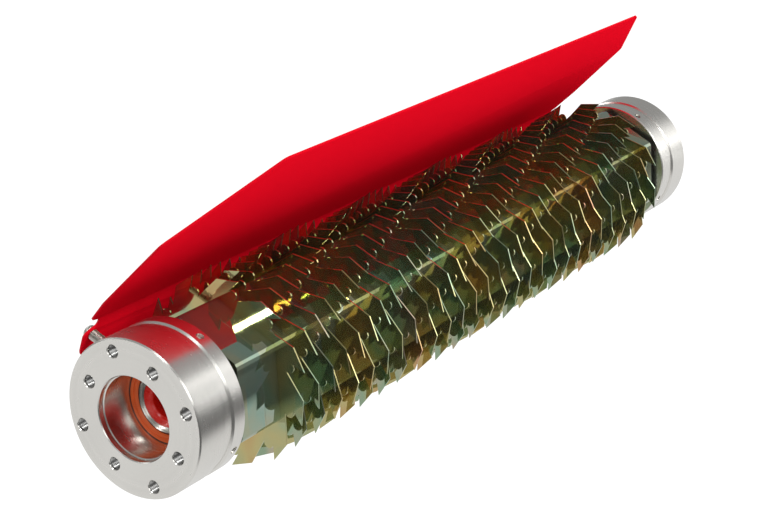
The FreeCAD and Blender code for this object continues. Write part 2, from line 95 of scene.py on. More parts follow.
class HousingSettings(bpy.types.PropertyGroup):
    """Sizes of the bearing housings and of what sits in them."""

    chamfer: length("Rim chamfer", 0.0008, "Chamfer round the outer rims")
    groove_start: length("Groove start", 0.0225, "Clamp groove, from the outer face")
    groove_end: length("Groove end", 0.0315, "Far side of the clamp groove")
    groove_depth: length("Groove depth", 0.0012, "Depth of the clamp groove")
    bore: length("Pilot bore", 0.026, "Radius of the bore in front of the seal")
    lip: length("Bore lip", 0.0012, "Width of the turned lip at the mouth of the bore")
    relief: length("Bore relief", 0.0042, "Depth of the slightly wider mouth of the bore")
    outer_circle: length("Outer bolt circle", 0.042, "Radius of the outer four bolt holes")
    inner_circle: length("Inner bolt circle", 0.0365, "Radius of the inner four bolt holes")
    outer_turn: angle("Outer bolts turn", 71.5, "Angle of the first outer bolt hole")
    fixing_turn: angle("Fixings turn", 26.5, "Angle of the inner bolts and lock screws")
    post_turn: angle("Post turn", 24.0, "Angle of the shield's posts")
    post_radius: length("Post radius", 0.0035, "Over the thread of a shield post")
    post_length: length("Post length", 0.0179, "From the housing to the shield's flange")
    countersink: length("Countersink", 0.00045, "Chamfer at the mouth of a bolt hole")
    thread_radius: length("Thread radius", 0.00395, "Outer radius of the bolt holes' thread")
    thread_height: length("Thread height", 0.0006, "How far the thread's crests stand in")
    thread_pitch: length("Thread pitch", 0.00125, "Pitch of the bolt holes' thread")
    thread_turns: number("Thread turns", 10, 1, "Turns of thread in a bolt hole")
    hole_depth: length("Bolt hole depth", 0.018, "Depth of a bolt hole")
    lock_place: length("Lock screw place", 0.0365, "Lock screws, from the outer face")
    lock_radius: length("Lock screw radius", 0.0025, "Radius of the lock screws' holes")


class ReelSettings(bpy.types.PropertyGroup):
    """Sizes of the blades and spacers on the hexagonal shaft."""

    blades: number("Blades", 32, 1, "Number of blades")
    pitch: length("Pitch", 0.01565, "From one blade to the next")
    thickness: length("Thickness", 0.001, "Thickness of a blade")
    teeth: number("Teeth", 11, 3, "Teeth of one blade")
    stagger: angle("Stagger", 60.0, "Turn from one blade to the next on the hexagon")
    tooth_turn: angle("First tip", 4.2, "Angle of the first blade's first tip")
    tip_radius: length("Tip radius", 0.0628, "From the axis to a tooth's tip")
    heel_radius: length("Heel radius", 0.0605, "From the axis to the corner behind the tip")
    heel_turn: angle("Heel turn", 15.4, "Angle between tip and heel")
    gullet_radius: length("Gullet radius", 0.0035, "Round bottom between two teeth")
    gullet_place: length("Gullet place", 0.05215, "Centre of that round, from the axis")
    gullet_turn: angle("Gullet turn", 3.35, "How far that centre lies under the tip")
    edge: length("Edge bevel", 0.00012, "Bevel along the edges of blades and spacers")
    hexagon: length("Blade hexagon", 0.0562, "Hexagonal hole of a blade, across flats")
    drum_flats: length("Spacer flats", 0.084, "Spacers across flats")
    drum_radius: length("Spacer corners", 0.0477, "Turned corners of the spacers")
    drum_wall: length("Spacer wall", 0.004, "Wall of a spacer")
    shaft_flats: length("Shaft flats", 0.056, "Hexagonal shaft across flats")
    shaft_radius: length("Shaft corners", 0.0316, "Turned corners of the shaft")


class FinishSettings(bpy.types.PropertyGroup):
    """Colours of the finishes."""

    aluminium: colour("Aluminium", (0.79, 0.775, 0.735), "Turned aluminium of the housings")
    shield: colour("Shield paint", (0.66, 0.003, 0.013), "Paint of the sheet shield")
    seal: colour("Seal", (0.86, 0.13, 0.02), "Rubber of the shaft seals")
    insert: colour("Drive insert", (0.72, 0.012, 0.006), "Plastic of the drive inserts")
    steel: colour("Ground steel", (0.6, 0.58, 0.55), "Journals and bearings")
    zinc: colour("Yellow zinc", (0.45, 0.41, 0.30), "Plating of blades and spacers")


class StageSettings(bpy.types.PropertyGroup):
    """The floor under the cassette."""

    floor_drop: length("Floor drop", 0.11, "From the reel's axis down to the floor")
    floor_size: length("Floor size", 12.0, "Side of the square floor")


# ---------------------------------------------------------------- mesh helpers

def polar(radius, turn):
    """A point round the reel's axis, as (y, z)."""
    return radius * math.cos(turn), radius * math.sin(turn)


def smoothed(mesh, sharp=SHARP):
    """Shade a mesh smooth but for edges sharper than an angle in degrees."""
    mesh.shade_smooth()
    mesh.set_sharp_from_angle(angle=math.radians(sharp))
    return mesh


def as_mesh(name, bm, sharp=SHARP):
    """Close a bmesh into a mesh whose faces look outward."""
    bmesh.ops.recalc_face_normals(bm, faces=bm.faces)
    mesh = bpy.data.meshes.new(name)
    bm.to_mesh(mesh)
    bm.free()
    return smoothed(mesh, sharp)


def skin(bm, low, high):
    """Join two rings of corners with a band of four-sided faces."""
    for i in range(len(low)):
        j = (i + 1) % len(low)
        bm.faces.new((low[i], low[j], high[j], high[i]))


def lathe(name, outline, steps=128, sharp=SHARP):
    """Turn a closed outline of (x, radius) points about the reel's axis."""
    bm = bmesh.new()
    rings = []
    for x, radius in outline:
        if radius < 1e-7:
            rings.append([bm.verts.new((x, 0.0, 0.0))] * steps)
            continue
        rings.append([bm.verts.new((x, *polar(radius, 2 * math.pi * i / steps)))
                      for i in range(steps)])
    for ring, after in zip(rings, rings[1:] + rings[:1]):
        if ring[0] is ring[1] and after[0] is after[1]:
            continue
        for i in range(steps):
            j = (i + 1) % steps
            corners = dict.fromkeys((ring[i], ring[j], after[j], after[i]))
            bm.faces.new(list(corners))
    return as_mesh(name, bm, sharp)


def rounded(outline, width, steps=3):
    """Round the corners of a closed outline of (x, radius) points off the axis."""
    most = 0.45     # the share of a side that one rounding may take
    result = []
    count = len(outline)
    for i, corner in enumerate(outline):
        here = Vector(corner)
        before = Vector(outline[i - 1])
        after = Vector(outline[(i + 1) % count])
        if here.y < 1e-7:
            result.append(corner)
            continue
        cut = min(width, (before - here).length * most, (after - here).length * most)
        first = here + (before - here).normalized() * cut
        last = here + (after - here).normalized() * cut
        for k in range(steps + 1):
            t = k / steps
            point = first * (1 - t) ** 2 + here * 2 * t * (1 - t) + last * t ** 2
            result.append((point.x, point.y))
    return result


def inset(points, width):
    """Move a closed outline inwards by a small width; it runs anticlockwise."""
    flattest = 0.35     # keeps the inset of a very sharp corner short
    result = []
    count = len(points)
    for i, point in enumerate(points):
        here = Vector(point)
        first = (here - Vector(points[i - 1])).normalized()
        last = (Vector(points[(i + 1) % count]) - here).normalized()
        normals = (Vector((-first.y, first.x)), Vector((-last.y, last.x)))
        middle = (normals[0] + normals[1]).normalized()
        reach = width / max(flattest, middle.dot(normals[0]))
        result.append(tuple(here + middle * reach))
    return result


def plate(name, outer, inner, thickness, edge, sharp=SHARP):
    """A plate across the axis with bevelled outer edges, from two outlines of (y, z)."""
    bm = bmesh.new()
    small = inset(outer, edge)
    layers = ((0.0, small), (edge, outer), (thickness - edge, outer), (thickness, small))
    rings = [[bm.verts.new((x, y, z)) for y, z in points] for x, points in layers]
    hole = [[bm.verts.new((x, y, z)) for y, z in inner] for x in (0.0, thickness)]
    for group in (rings, hole):
        for low, high in zip(group, group[1:]):
            skin(bm, low, high)
    for outside, inside in ((rings[0], hole[0]), (rings[-1], hole[-1])):
        edges = []
        for ring in (outside, inside):
            for i, vert in enumerate(ring):
                edges.append(bm.edges.get((vert, ring[(i + 1) % len(ring)])))
        bmesh.ops.triangle_fill(bm, edges=edges, use_beauty=True)
    return as_mesh(name, bm, sharp)


def hexagon(flats, turn, radius=None, steps=4):
    """A hexagon's outline, its corners turned down to a radius."""
    half = flats / 2
    points = []
    for i in range(6):
        corner = turn + i * math.pi / 3
        if radius is None:
            points.append(polar(half / math.cos(math.pi / 6), corner))
            continue
        reach = math.pi / 6 - math.acos(half / radius)
        for k in range(steps + 1):
            points.append(polar(radius, corner - reach + 2 * reach * k / steps))
    return points


def joined(name, meshes, sharp=SHARP):
    """Several meshes as one, each set in place by its matrix."""
    bm = bmesh.new()
    for mesh, matrix in meshes:
        part = bmesh.new()
        part.from_mesh(mesh)
        part.transform(matrix)
        if matrix.determinant() < 0:
            bmesh.ops.reverse_faces(part, faces=part.faces)
        piece = bpy.data.meshes.new("part")
        part.to_mesh(piece)
        part.free()
        bm.from_mesh(piece)
        bpy.data.meshes.remove(piece)
    mesh = bpy.data.meshes.new(name)
    bm.to_mesh(mesh)
    bm.free()
    return smoothed(mesh, sharp)


def shift(x):
    """The matrix that moves a piece along the axis."""
    return Matrix.Translation((x, 0, 0))


def at_right_end():
    """The matrix that mirrors a left end piece to the right end."""
    return shift(END) @ Matrix.Scale(-1, 4, (1, 0, 0))


def radial(sizes, turn, height):
    """The matrix that stands a piece along +X out from the axis, at the lock holes."""
    return (Matrix.Rotation(turn, 4, "X")
            @ Matrix.Translation((sizes.lock_place, height, 0))
            @ Matrix.Rotation(math.pi / 2, 4, "Z"))


def placed(name, mesh):
    piece = bpy.data.objects.new(name, mesh)
    bpy.context.scene.collection.objects.link(piece)
    return piece


def settle(piece, body, slot, finish, *nodes):
    """Give a finished piece its material and its body, and hide the nodes it stands for."""
    piece.data.materials.clear()
    piece.data.materials.append(finish_named(finish))
    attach(piece, body)
    if nodes:
        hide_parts(*nodes)


def bake(piece):
    """Make the modifiers' result the piece's own mesh."""
    graph = bpy.context.evaluated_depsgraph_get()
    mesh = bpy.data.meshes.new_from_object(piece.evaluated_get(graph), depsgraph=graph)
    piece.modifiers.clear()
    piece.data = mesh
    return piece


def modified(mesh, kind, sharp=SHARP, **settings):
    """What one modifier makes of a mesh."""
    piece = placed("blank", mesh)
    modifier = piece.modifiers.new("change", kind)
    for name, value in settings.items():
        setattr(modifier, name, value)
    result = bake(piece).data
    bpy.data.objects.remove(piece)
    return smoothed(result, sharp)


def drilled(mesh, holes):
    """Cut holes from a mesh with another mesh."""
    cutter = placed("cutter", holes)
    result = modified(mesh, "BOOLEAN", operation="DIFFERENCE", solver="EXACT", object=cutter)
    bpy.data.objects.remove(cutter)
    return result


def finished_copy(node, width):
    """A merged copy of a CAD node's mesh, its edges rounded."""
    sharp, flat, corner = 35.0, math.radians(1.0), math.radians(40.0)
    bm = bmesh.new()
    bm.from_mesh(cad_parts[node].data)
    bmesh.ops.remove_doubles(bm, verts=bm.verts, dist=1e-6)
    bmesh.ops.dissolve_limit(bm, angle_limit=flat, verts=bm.verts, edges=bm.edges)
    return modified(as_mesh(node, bm, sharp), "BEVEL", sharp, width=width, segments=2,
                    limit_method="ANGLE", angle_limit=corner)


# ---------------------------------------------------------------- node trees

def add_node(tree, kind, settings, sockets):
    """Add a node: its settings first, then the values or links of its sockets."""
    node = tree.nodes.new(kind)
    for name, value in settings.items():
        if name == "stops":
            set_stops(node.color_ramp, value)
        else:
            setattr(node, name, value)
    for name, value in sockets.items():
        if isinstance(value, bpy.types.NodeSocket):
            tree.links.new(value, node.inputs[name])
        else:
            node.inputs[name].default_value = value
    return node


def set_stops(ramp, stops):
    while len(ramp.elements) < len(stops):
        ramp.elements.new(0.5)
    for element, (position, tint) in zip(ramp.elements, stops):
        element.position = position
        element.color = (*tint, 1.0)


def row_tree():
    """A node group that repeats a mesh with a step along the shaft and a turn about it."""
    group = bpy.data.node_groups.new("Row On The Shaft", "GeometryNodeTree")
    for name, kind in (("Geometry", "Geometry"), ("Count", "Int"), ("Step", "Float"),
                       ("Turn", "Float"), ("Material", "Material")):
        group.interface.new_socket(name, in_out="INPUT", socket_type="NodeSocket" + kind)
    group.interface.new_socket("Geometry", in_out="OUTPUT", socket_type="NodeSocketGeometry")
    given = add_node(group, "NodeGroupInput", {}, {}).outputs

    def node(kind, sockets, **settings):
        return add_node(group, kind, settings, sockets).outputs[0]

    index = node("GeometryNodeInputIndex", {})
    along, turned = (node("ShaderNodeMath", {0: index, 1: given[name]}, operation="MULTIPLY")
                     for name in ("Step", "Turn"))
    spot, rotation = (node("ShaderNodeCombineXYZ", {"X": value}) for value in (along, turned))
    points = node("GeometryNodePoints", {"Count": given["Count"], "Position": spot})
    copies = node("GeometryNodeInstanceOnPoints", {
        "Points": points, "Instance": given["Geometry"], "Rotation": rotation})
    real = node("GeometryNodeRealizeInstances", {"Geometry": copies})
    coloured = node("GeometryNodeSetMaterial", {"Geometry": real, "Material": given["Material"]})
    add_node(group, "NodeGroupOutput", {}, {0: coloured})
    return group


def repeat(piece, count, step, turn, finish):
    """Repeat a piece by the row group, whose inputs are set by their identifiers."""
    group = row_tree()
    values = {"Count": count, "Step": step, "Turn": turn, "Material": finish_named(finish)}
    modifier = piece.modifiers.new(group.name, "NODES")
    modifier.node_group = group
    for item in group.interface.items_tree:
        if item.in_out == "INPUT" and item.name in values:
            modifier[item.identifier] = values[item.name]
    return bake(piece)


# ---------------------------------------------------------------- materials

class Value:
    """A socket in a material, used in sums as a number is."""

    def __init__(self, finish, socket):
        self.finish = finish
        self.socket = socket

    def maths(self, operation, first, second=0.0):
        return self.finish.node("Math", {"operation": operation}, {0: first, 1: second})

    def __add__(self, other):
        return self.maths("ADD", self, other)

    def __radd__(self, other):
        return self.maths("ADD", other, self)

    def __sub__(self, other):
        return self.maths("SUBTRACT", self, other)

    def __rsub__(self, other):
        return self.maths("SUBTRACT", other, self)

    def __mul__(self, other):
        return self.maths("MULTIPLY", self, other)

    def __rmul__(self, other):
        return self.maths("MULTIPLY", other, self)

    def __truediv__(self, other):
        return self.maths("DIVIDE", self, other)

    def __rtruediv__(self, other):
        return self.maths("DIVIDE", other, self)

    def __pow__(self, other):
        return self.maths("POWER", self, other)

    def floor(self):
        return self.maths("FLOOR", self)


class Finish:
    """A material under construction."""

    def __init__(self, name):
        self.material = bpy.data.materials.new(name)
        self.material.use_nodes = True
        self.tree = self.material.node_tree
        self.tree.nodes.clear()
        self.place = self.node("TexCoord", {}, {}, "Object")
        split = add_node(self.tree, "ShaderNodeSeparateXYZ", {}, {0: self.place.socket})
        self.x, self.y, self.z = (Value(self, out) for out in split.outputs)

    def node(self, kind, settings, sockets, output=0):
        """Add a shader node and return one of its outputs as a value."""
        plain = {name: value.socket if isinstance(value, Value) else value
                 for name, value in sockets.items()}
        node = add_node(self.tree, "ShaderNode" + kind, settings, plain)
        return Value(self, node.outputs[output])

    def radius(self):
        """Distance from the reel's axis."""
        return (self.y * self.y + self.z * self.z) ** 0.5

    def turning(self):
        """Runs on across a turned surface, over its faces and its cylinders alike."""
        lead = 1.37     # keeps a 45 degree chamfer from standing still
        return self.radius() + lead * self.x

    def noise(self, scale, detail=2.0, w=None, rough=0.5):
        sockets = {"Scale": scale, "Detail": detail, "Roughness": rough, "Vector": self.place}
        settings = {"noise_dimensions": "3D"}
        if w is not None:
            settings["noise_dimensions"] = "4D"
            sockets["W"] = w
        return self.node("TexNoise", settings, sockets)

    def line_noise(self, position, scale, detail=2.0):
        """Noise that varies along one value, as turning marks do."""
        return self.node("TexNoise", {"noise_dimensions": "1D"},
                         {"W": position, "Scale": scale, "Detail": detail})

    def ramp(self, value, stops):
        return self.node("ValToRGB", {"stops": stops}, {"Fac": value}, "Color")

    def spread(self, value, low, high, to_low=0.0, to_high=1.0):
        """Map a span of a value onto another span, held at its ends."""
        return self.node("MapRange", {"clamp": True},
                         {"Value": value, "From Min": low, "From Max": high,
                          "To Min": to_low, "To Max": to_high}, "Result")

    def mix(self, factor, first, second):
        """Mix two colours."""
        return self.node("Mix", {"data_type": "RGBA"}, {0: factor, 6: first, 7: second}, 2)

    def shade(self, tint, factor):
        """Make a colour darker or lighter by a factor that varies."""
        if not isinstance(tint, Value):
            tint = tuple(tint)
        return self.node("VectorMath", {"operation": "SCALE"}, {0: tint, "Scale": factor})

    def bump(self, height, distance):
        return self.node("Bump", {}, {"Height": height, "Distance": distance, "Strength": 1.0},
                         "Normal")

    def surface(self, **sockets):
        """Close the material with one Principled shader."""
        named = {name.replace("_", " "): value for name, value in sockets.items()}
        return self.close(self.node("BsdfPrincipled", {}, named))

    def close(self, shader):
        """Send a shader to the material's output."""
        add_node(self.tree, "ShaderNodeOutputMaterial", {}, {"Surface": shader.socket})
        return self.material


def turned_aluminium(colours):
    """Satin aluminium with fine turning marks."""
    finish = Finish("turned_aluminium")
    run = finish.turning()
    marks = finish.line_noise(run, 2600.0, 3.0)
    bands = finish.line_noise(run, 320.0)
    cloud = finish.noise(26.0, 4.0)
    fine = finish.noise(900.0)
    stain = finish.noise(70.0, 5.0, rough=0.65)
    tone = 0.88 + 0.06 * bands + 0.12 * cloud
    rough = 0.2 + 0.04 * bands + 0.06 * stain + 0.02 * fine
    return finish.surface(Base_Color=finish.shade(colours.aluminium, tone), Metallic=1.0,
                          Roughness=rough, Normal=finish.bump(marks, 0.000004))


def shaded_thread_metal():
    """Cut threads, a darker grey than the housing's aluminium: painted shade down the bolt holes.
    """
    finish = Finish("shaded_thread_metal")
    tone = 0.7 + 0.6 * finish.noise(900.0, 3.0)
    # Painted shade: the threads are cut in the housing's aluminium, and this dark grey stands in
    # for the shade down the bolt holes.
    return finish.surface(Base_Color=finish.shade((0.42, 0.42, 0.41), tone), Metallic=1.0,
                          Roughness=0.3)


BLADE_TINTS = (
    (0.0, (0.50, 0.21, 0.14)),
    (0.16, (0.58, 0.38, 0.15)),
    (0.34, (0.56, 0.48, 0.20)),
    (0.5, (0.44, 0.46, 0.23)),
    (0.64, (0.28, 0.42, 0.28)),
    (0.8, (0.46, 0.44, 0.31)),
    (1.0, (0.56, 0.37, 0.30)))
SPACER_TINTS = (
    (0.0, (0.40, 0.27, 0.20)),
    (0.18, (0.42, 0.37, 0.22)),
    (0.36, (0.38, 0.40, 0.26)),
    (0.52, (0.33, 0.39, 0.29)),
    (0.68, (0.25, 0.39, 0.32)),
    (0.84, (0.36, 0.39, 0.37)),
    (1.0, (0.40, 0.35, 0.33)))


def yellow_zinc(name, colours, start, pitch, tints, share):
    """Mirror bright yellow zinc whose tint wanders over each piece and from piece to piece."""
    finish = Finish(name)
    item = ((finish.x - start) / pitch).floor()
    film = finish.noise(14.0, w=item * 2.37)
    second = finish.noise(40.0, w=item * 5.11 + 9.0)
    tint = finish.spread(film * 0.7 + second * 0.3, 0.32, 0.68)
    base = finish.mix(share, (*colours.zinc, 1.0), finish.ramp(tint, tints))
    streak = finish.noise(90.0, 4.0, rough=0.7)
    rough = 0.03 + 0.06 * finish.spread(streak, 0.4, 0.7)
    return finish.surface(Base_Color=finish.shade(base, 0.9 + 0.14 * second), Metallic=0.935,
                          Roughness=rough)


# The turns of plate and flange, and the depths between the sheet's front and its back.
SHIELD_TURNS = (math.radians(44.9), math.radians(24.0))
SHEET_MIDDLE = (0.0683, 0.0687)


def shield_paint(colours):
    """Red paint with thin scuffs, flat in front and slightly glossy on the sheet's back."""
    finish = Finish("shield_paint")
    cloud = finish.noise(5.0, 3.0)
    scuffs = finish.spread(finish.noise(60.0, 6.0, rough=0.75), 0.62, 0.75)
    rough = 0.5 + 0.08 * scuffs + 0.04 * finish.noise(20.0)
    gloss = 0.0
    for turn in SHIELD_TURNS:
        depth = math.cos(turn) * finish.y + math.sin(turn) * finish.z
        gloss = finish.spread(depth, *SHEET_MIDDLE, 0.0, 0.25) + gloss
    return finish.surface(Base_Color=finish.shade(colours.shield, 0.95 + 0.1 * cloud),
                          Roughness=rough, Specular_IOR_Level=0.0, Coat_Weight=gloss,
                          Coat_Roughness=0.2)


# Radii between which the seal's colour goes near black, at its rim and at the journal: painted
# shade in its gaps to the housing's bore and to the journal.
SEAL_SHADE_GAPS = ((0.02535, 0.0256), (0.0207, 0.0205))


def seal_rubber(colours):
    """Orange rubber with moulding rings and a little grease, darkened at its rim and at the
    journal by painted shade in the gaps.
    """
    finish = Finish("seal_rubber")
    rings = finish.line_noise(finish.radius(), 1500.0)
    grease = finish.noise(90.0, 4.0)
    tint = finish.shade(colours.seal, 0.82 + 0.3 * grease)
    # Painted shade: near black where the seal meets the housing's bore and where it meets the
    # journal.
    for start, end in SEAL_SHADE_GAPS:
        tint = finish.mix(finish.spread(finish.radius(), start, end), tint,
                          (0.02, 0.006, 0.004, 1.0))
    return finish.surface(Base_Color=tint, Roughness=finish.spread(grease, 0.3, 0.7, 0.28, 0.5),
                          Normal=finish.bump(rings, 0.00002))


def insert_plastic(colours):
    """Glossy red plastic of the drive insert."""
    finish = Finish("insert_plastic")
    cloud = finish.noise(120.0, 3.0)
    return finish.surface(Base_Color=finish.shade(colours.insert, 0.85 + 0.3 * cloud),
                          Roughness=0.2 + 0.15 * finish.noise(300.0, 3.0),
                          Normal=finish.bump(finish.noise(700.0), 0.00001))


def ground_steel(name, tint, low, high):
    """Ground or turned steel with rings round the axis."""
    finish = Finish(name)
    marks = finish.line_noise(finish.turning(), 2800.0, 3.0)
    cloud = finish.noise(60.0, 4.0, rough=0.6)
    return finish.surface(Base_Color=finish.shade(tint, 0.8 + 0.3 * cloud), Metallic=1.0,
                          Roughness=finish.spread(cloud, 0.3, 0.7, low, high),
                          Normal=finish.bump(marks, 0.00001))


def plated_steel():
    """Zinc plated screws and posts."""
    finish = Finish("plated_steel")
    cloud = finish.noise(400.0, 4.0, rough=0.6)
    return finish.surface(Base_Color=finish.shade((0.62, 0.61, 0.57), 0.75 + 0.4 * cloud),
                          Metallic=1.0, Roughness=finish.spread(cloud, 0.3, 0.7, 0.22, 0.4),
                          Normal=finish.bump(cloud, 0.00001))


FINISHES = {}


def finish_named(name):
    """A finish of the cassette, made once."""
    colours = bpy.context.scene.reel_finishes
    pitch = bpy.context.scene.reel_sizes.pitch
    first = BLADES[0][0]
    makers = {
        "turned_aluminium": lambda: turned_aluminium(colours),
        "shaded_thread_metal": shaded_thread_metal,
        "blade_zinc": lambda: yellow_zinc(name, colours, first - pitch / 2, pitch,
                                          BLADE_TINTS, 0.85),
        "spacer_zinc": lambda: yellow_zinc(name, colours, first, pitch, SPACER_TINTS, 0.9),
        "shield_paint": lambda: shield_paint(colours),
        "seal_rubber": lambda: seal_rubber(colours),
        "insert_plastic": lambda: insert_plastic(colours),
        "ground_steel": lambda: ground_steel(name, colours.steel, 0.16, 0.3),
        "shaft_steel": lambda: ground_steel(name, (0.34, 0.34, 0.33), 0.25, 0.45),
        "plated_steel": plated_steel,
    }
    if name not in FINISHES:
        FINISHES[name] = makers[name]()
    return FINISHES[name]


# ---------------------------------------------------------------- pieces

def both_ends(name, mesh, body, slot, finish, node):
    """Place a left end piece and its mirror image at the right end."""
    for side, matrix in (("left", Matrix()), ("right", at_right_end())):
        piece = placed(f"{side}_{name}", joined(f"{side}_{name}", [(mesh, matrix)]))
        settle(piece, body, slot, finish, f"{side}_{node}")


def quarter_turns(name, mesh, count, slot, finish, sharp, node=None):
    """Repeat a left end mesh by quarter turns and mirror the row to the right end."""
    left = placed(f"left_{name}", mesh)
    repeat(left, count, 0.0, math.pi / 2, finish)
    right = placed(f"right_{name}", joined(f"right_{name}", [(left.data, at_right_end())], sharp))
    for side, piece in (("left", left), ("right", right)):
        nodes = (f"{side}_{node}",) if node else ()
        settle(piece, "root", slot, finish, *nodes)


def housing_outline(sizes):
    """The housing's section as (x, radius) points."""
    chamfer = sizes.chamfer
    floor = RIM - sizes.groove_depth
    mouth_share, mouth_edge, relief_slope = 0.6, 0.0006, 0.0004
    mouth = sizes.bore + mouth_share * sizes.lip
    return [
        (sizes.relief + relief_slope, sizes.bore),
        (sizes.relief, mouth),
        (mouth_edge, mouth),
        (0.0, sizes.bore + sizes.lip),
        (0.0, RIM - chamfer),
        (chamfer, RIM),
        (sizes.groove_start, RIM),
        (sizes.groove_start + sizes.groove_depth, floor),
        (sizes.groove_end - sizes.groove_depth, floor),
        (sizes.groove_end, RIM),
        (HOUSING_END - chamfer, RIM),
        (HOUSING_END, RIM - chamfer),
        (HOUSING_END, SEAT),
        (SEAL_FACE, SEAT),
        (SEAL_FACE, sizes.bore),
    ]


def bolt_places(sizes, depth, quarter=0):
    """The matrices of one bolt hole on each circle, from a depth behind the outer face."""
    for ring, turn in ((sizes.outer_circle, sizes.outer_turn),
                       (sizes.inner_circle, sizes.fixing_turn)):
        y, z = polar(ring, turn + quarter * math.pi / 2)
        yield Matrix.Translation((depth, y, z))


def hole_cutters(sizes):
    """Cutters for the bolt holes and the radial lock holes of one housing."""
    over, cone, lock_depth, lock_reach = 0.001, 0.002, 0.007, 0.012
    radius = sizes.thread_radius
    sink = radius + sizes.countersink
    bolt = lathe("bolt_cutter", [
        (-over, 0.0), (-over, sink), (0.0, sink), (sizes.countersink, radius),
        (sizes.hole_depth - cone, radius), (sizes.hole_depth, 0.0)], steps=32)
    lock = lathe("lock_cutter", [
        (0.0, 0.0), (0.0, sizes.lock_radius), (lock_reach, sizes.lock_radius),
        (lock_reach, 0.0)], steps=28)
    cutters = []
    for quarter in range(4):
        cutters += [(bolt, place) for place in bolt_places(sizes, 0, quarter)]
        turn = sizes.post_turn if quarter == 0 else sizes.fixing_turn + quarter * math.pi / 2
        cutters.append((lock, radial(sizes, turn, RIM - lock_depth)))
    return joined("hole_cutters", cutters)


# A ridge's section, as (along, in pitches) and (out, in heights).
THREAD_FORM = ((-0.46, 0.0), (0.0, 1.0), (0.46, 0.0), (0.0, -0.35))


def thread(name, radius, height, pitch, turns, steps=24):
    """A closed helical ridge about the X axis; a negative height stands inwards."""
    bm = bmesh.new()
    rings = []
    count = turns * steps
    for i in range(count + 1):
        fade = min(1.0, 4.0 * i / steps, 4.0 * (count - i) / steps)
        ring = []
        for along, out in THREAD_FORM:
            reach = radius + height * out * (fade if out > 0 else 1.0)
            y, z = polar(reach, 2 * math.pi * i / steps)
            ring.append(bm.verts.new((pitch * (i / steps + along + 0.5), y, z)))
        rings.append(ring)
    for low, high in zip(rings, rings[1:]):
        skin(bm, low, high)
    bm.faces.new(rings[0])
    bm.faces.new(rings[-1][::-1])
    return as_mesh(name, bm, 40.0)


class DressHousings(bpy.types.Operator):
    """Turn the two housings, with threads in their bolt holes"""

    bl_idname = "reel.housings"
    bl_label = "Bearing housings"

    def execute(self, context):
        sizes = context.scene.reel_housings
        blank = lathe("housing_blank", housing_outline(sizes), steps=192)
        both_ends("housing_turned", drilled(blank, hole_cutters(sizes)), "root",
                  "housing_aluminium", "turned_aluminium", "housing")
        ridge = thread("ridge", sizes.thread_radius, -sizes.thread_height, sizes.thread_pitch,
                       sizes.thread_turns)
        pair = joined("bolt_threads", [(ridge, place) for place in
                                       bolt_places(sizes, sizes.countersink)], 40.0)
        quarter_turns("bolt_threads", pair, 4, "housing_aluminium", "shaded_thread_metal", 40.0)
        return {"FINISHED"}


# Each as (behind the seal's face, below its seat) and (behind the face, above the journal).
SEAL_LIP = ((0.0, 0.0018), (0.0007, 0.0021), (0.0007, 0.0026), (0.0001, 0.0029))
SEAL_THROAT = ((0.0004, 0.0013), (0.0016, 0.0004), (0.0026, 0.0))


class DressSeals(bpy.types.Operator):
    """Mould the orange shaft seals and turn the bearing rings"""

    bl_idname = "reel.seals"
    bl_label = "Seals and bearings"

    def execute(self, context):
        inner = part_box("left_journal")[1][1] + PLAY
        shoulder, cover = 0.0002, 0.00002
        rim = context.scene.reel_housings.bore - cover
        outline = [(SEAL_FACE - shoulder, rim)]
        outline += [(SEAL_FACE + depth, SEAT - down) for depth, down in SEAL_LIP]
        outline += [(SEAL_FACE + depth, inner + up) for depth, up in SEAL_THROAT]
        outline += [(SEAL_BACK, inner), (SEAL_BACK, SEAT), (SEAL_FACE, SEAT), (SEAL_FACE, rim)]
        seal = lathe("seal", rounded(outline, width=0.00015), sharp=40.0)
        both_ends("seal_ring", seal, "root", "seal_orange", "seal_rubber", "seal")
        land, slope, recess = 0.0018, 0.002, HOUSING_END - 0.0004
        outline = rounded([
            (SEAL_BACK, SEAT), (SEAL_BACK, inner), (HOUSING_END, inner),
            (HOUSING_END, inner + land), (recess, inner + slope), (recess, SEAT - slope),
            (HOUSING_END, SEAT - land), (HOUSING_END, SEAT)], width=0.0002)
        both_ends("bearing_ring", lathe("bearing", outline, sharp=40.0), "root",
                  "bearing_steel", "ground_steel", "bearing")
        return {"FINISHED"}


# Each as (behind the journal's face, outside the drive insert).
JOURNAL_GROOVE = ((0.0, 0.0016), (0.0004, 0.0019), (0.0004, 0.0022), (0.0, 0.0025))


class DressJournals(bpy.types.Operator):
    """Turn the journals and mould the red drive inserts"""

    bl_idname = "reel.journals"
    bl_label = "Journals and drive inserts"

    def execute(self, context):
        start, end = JOURNAL[0][0], JOURNAL[1][0]
        radius = JOURNAL[1][1]
        floor, socket = SOCKET[1][0], SOCKET[1][1]
        chamfer, step, wall = 0.0008, 0.0015, 0.0061
        outline = [(start, socket)]
        outline += [(start + depth, socket + out) for depth, out in JOURNAL_GROOVE]
        outline += [(start, radius - chamfer), (start + chamfer, radius), (end, radius),
                    (end, 0.0), (floor, 0.0), (floor, socket)]
        both_ends("journal_stub", lathe("journal", outline), "reel", "journal_steel",
                  "ground_steel", "journal")
        hole = socket - wall
        outline = rounded([
            (start, hole + step), (start, socket), (floor, socket), (floor, hole),
            (start + step, hole)], width=0.0005, steps=4)
        both_ends("drive_socket", lathe("insert", outline, steps=96, sharp=50.0), "reel",
                  "insert_red", "insert_plastic", "drive_insert")
        return {"FINISHED"}


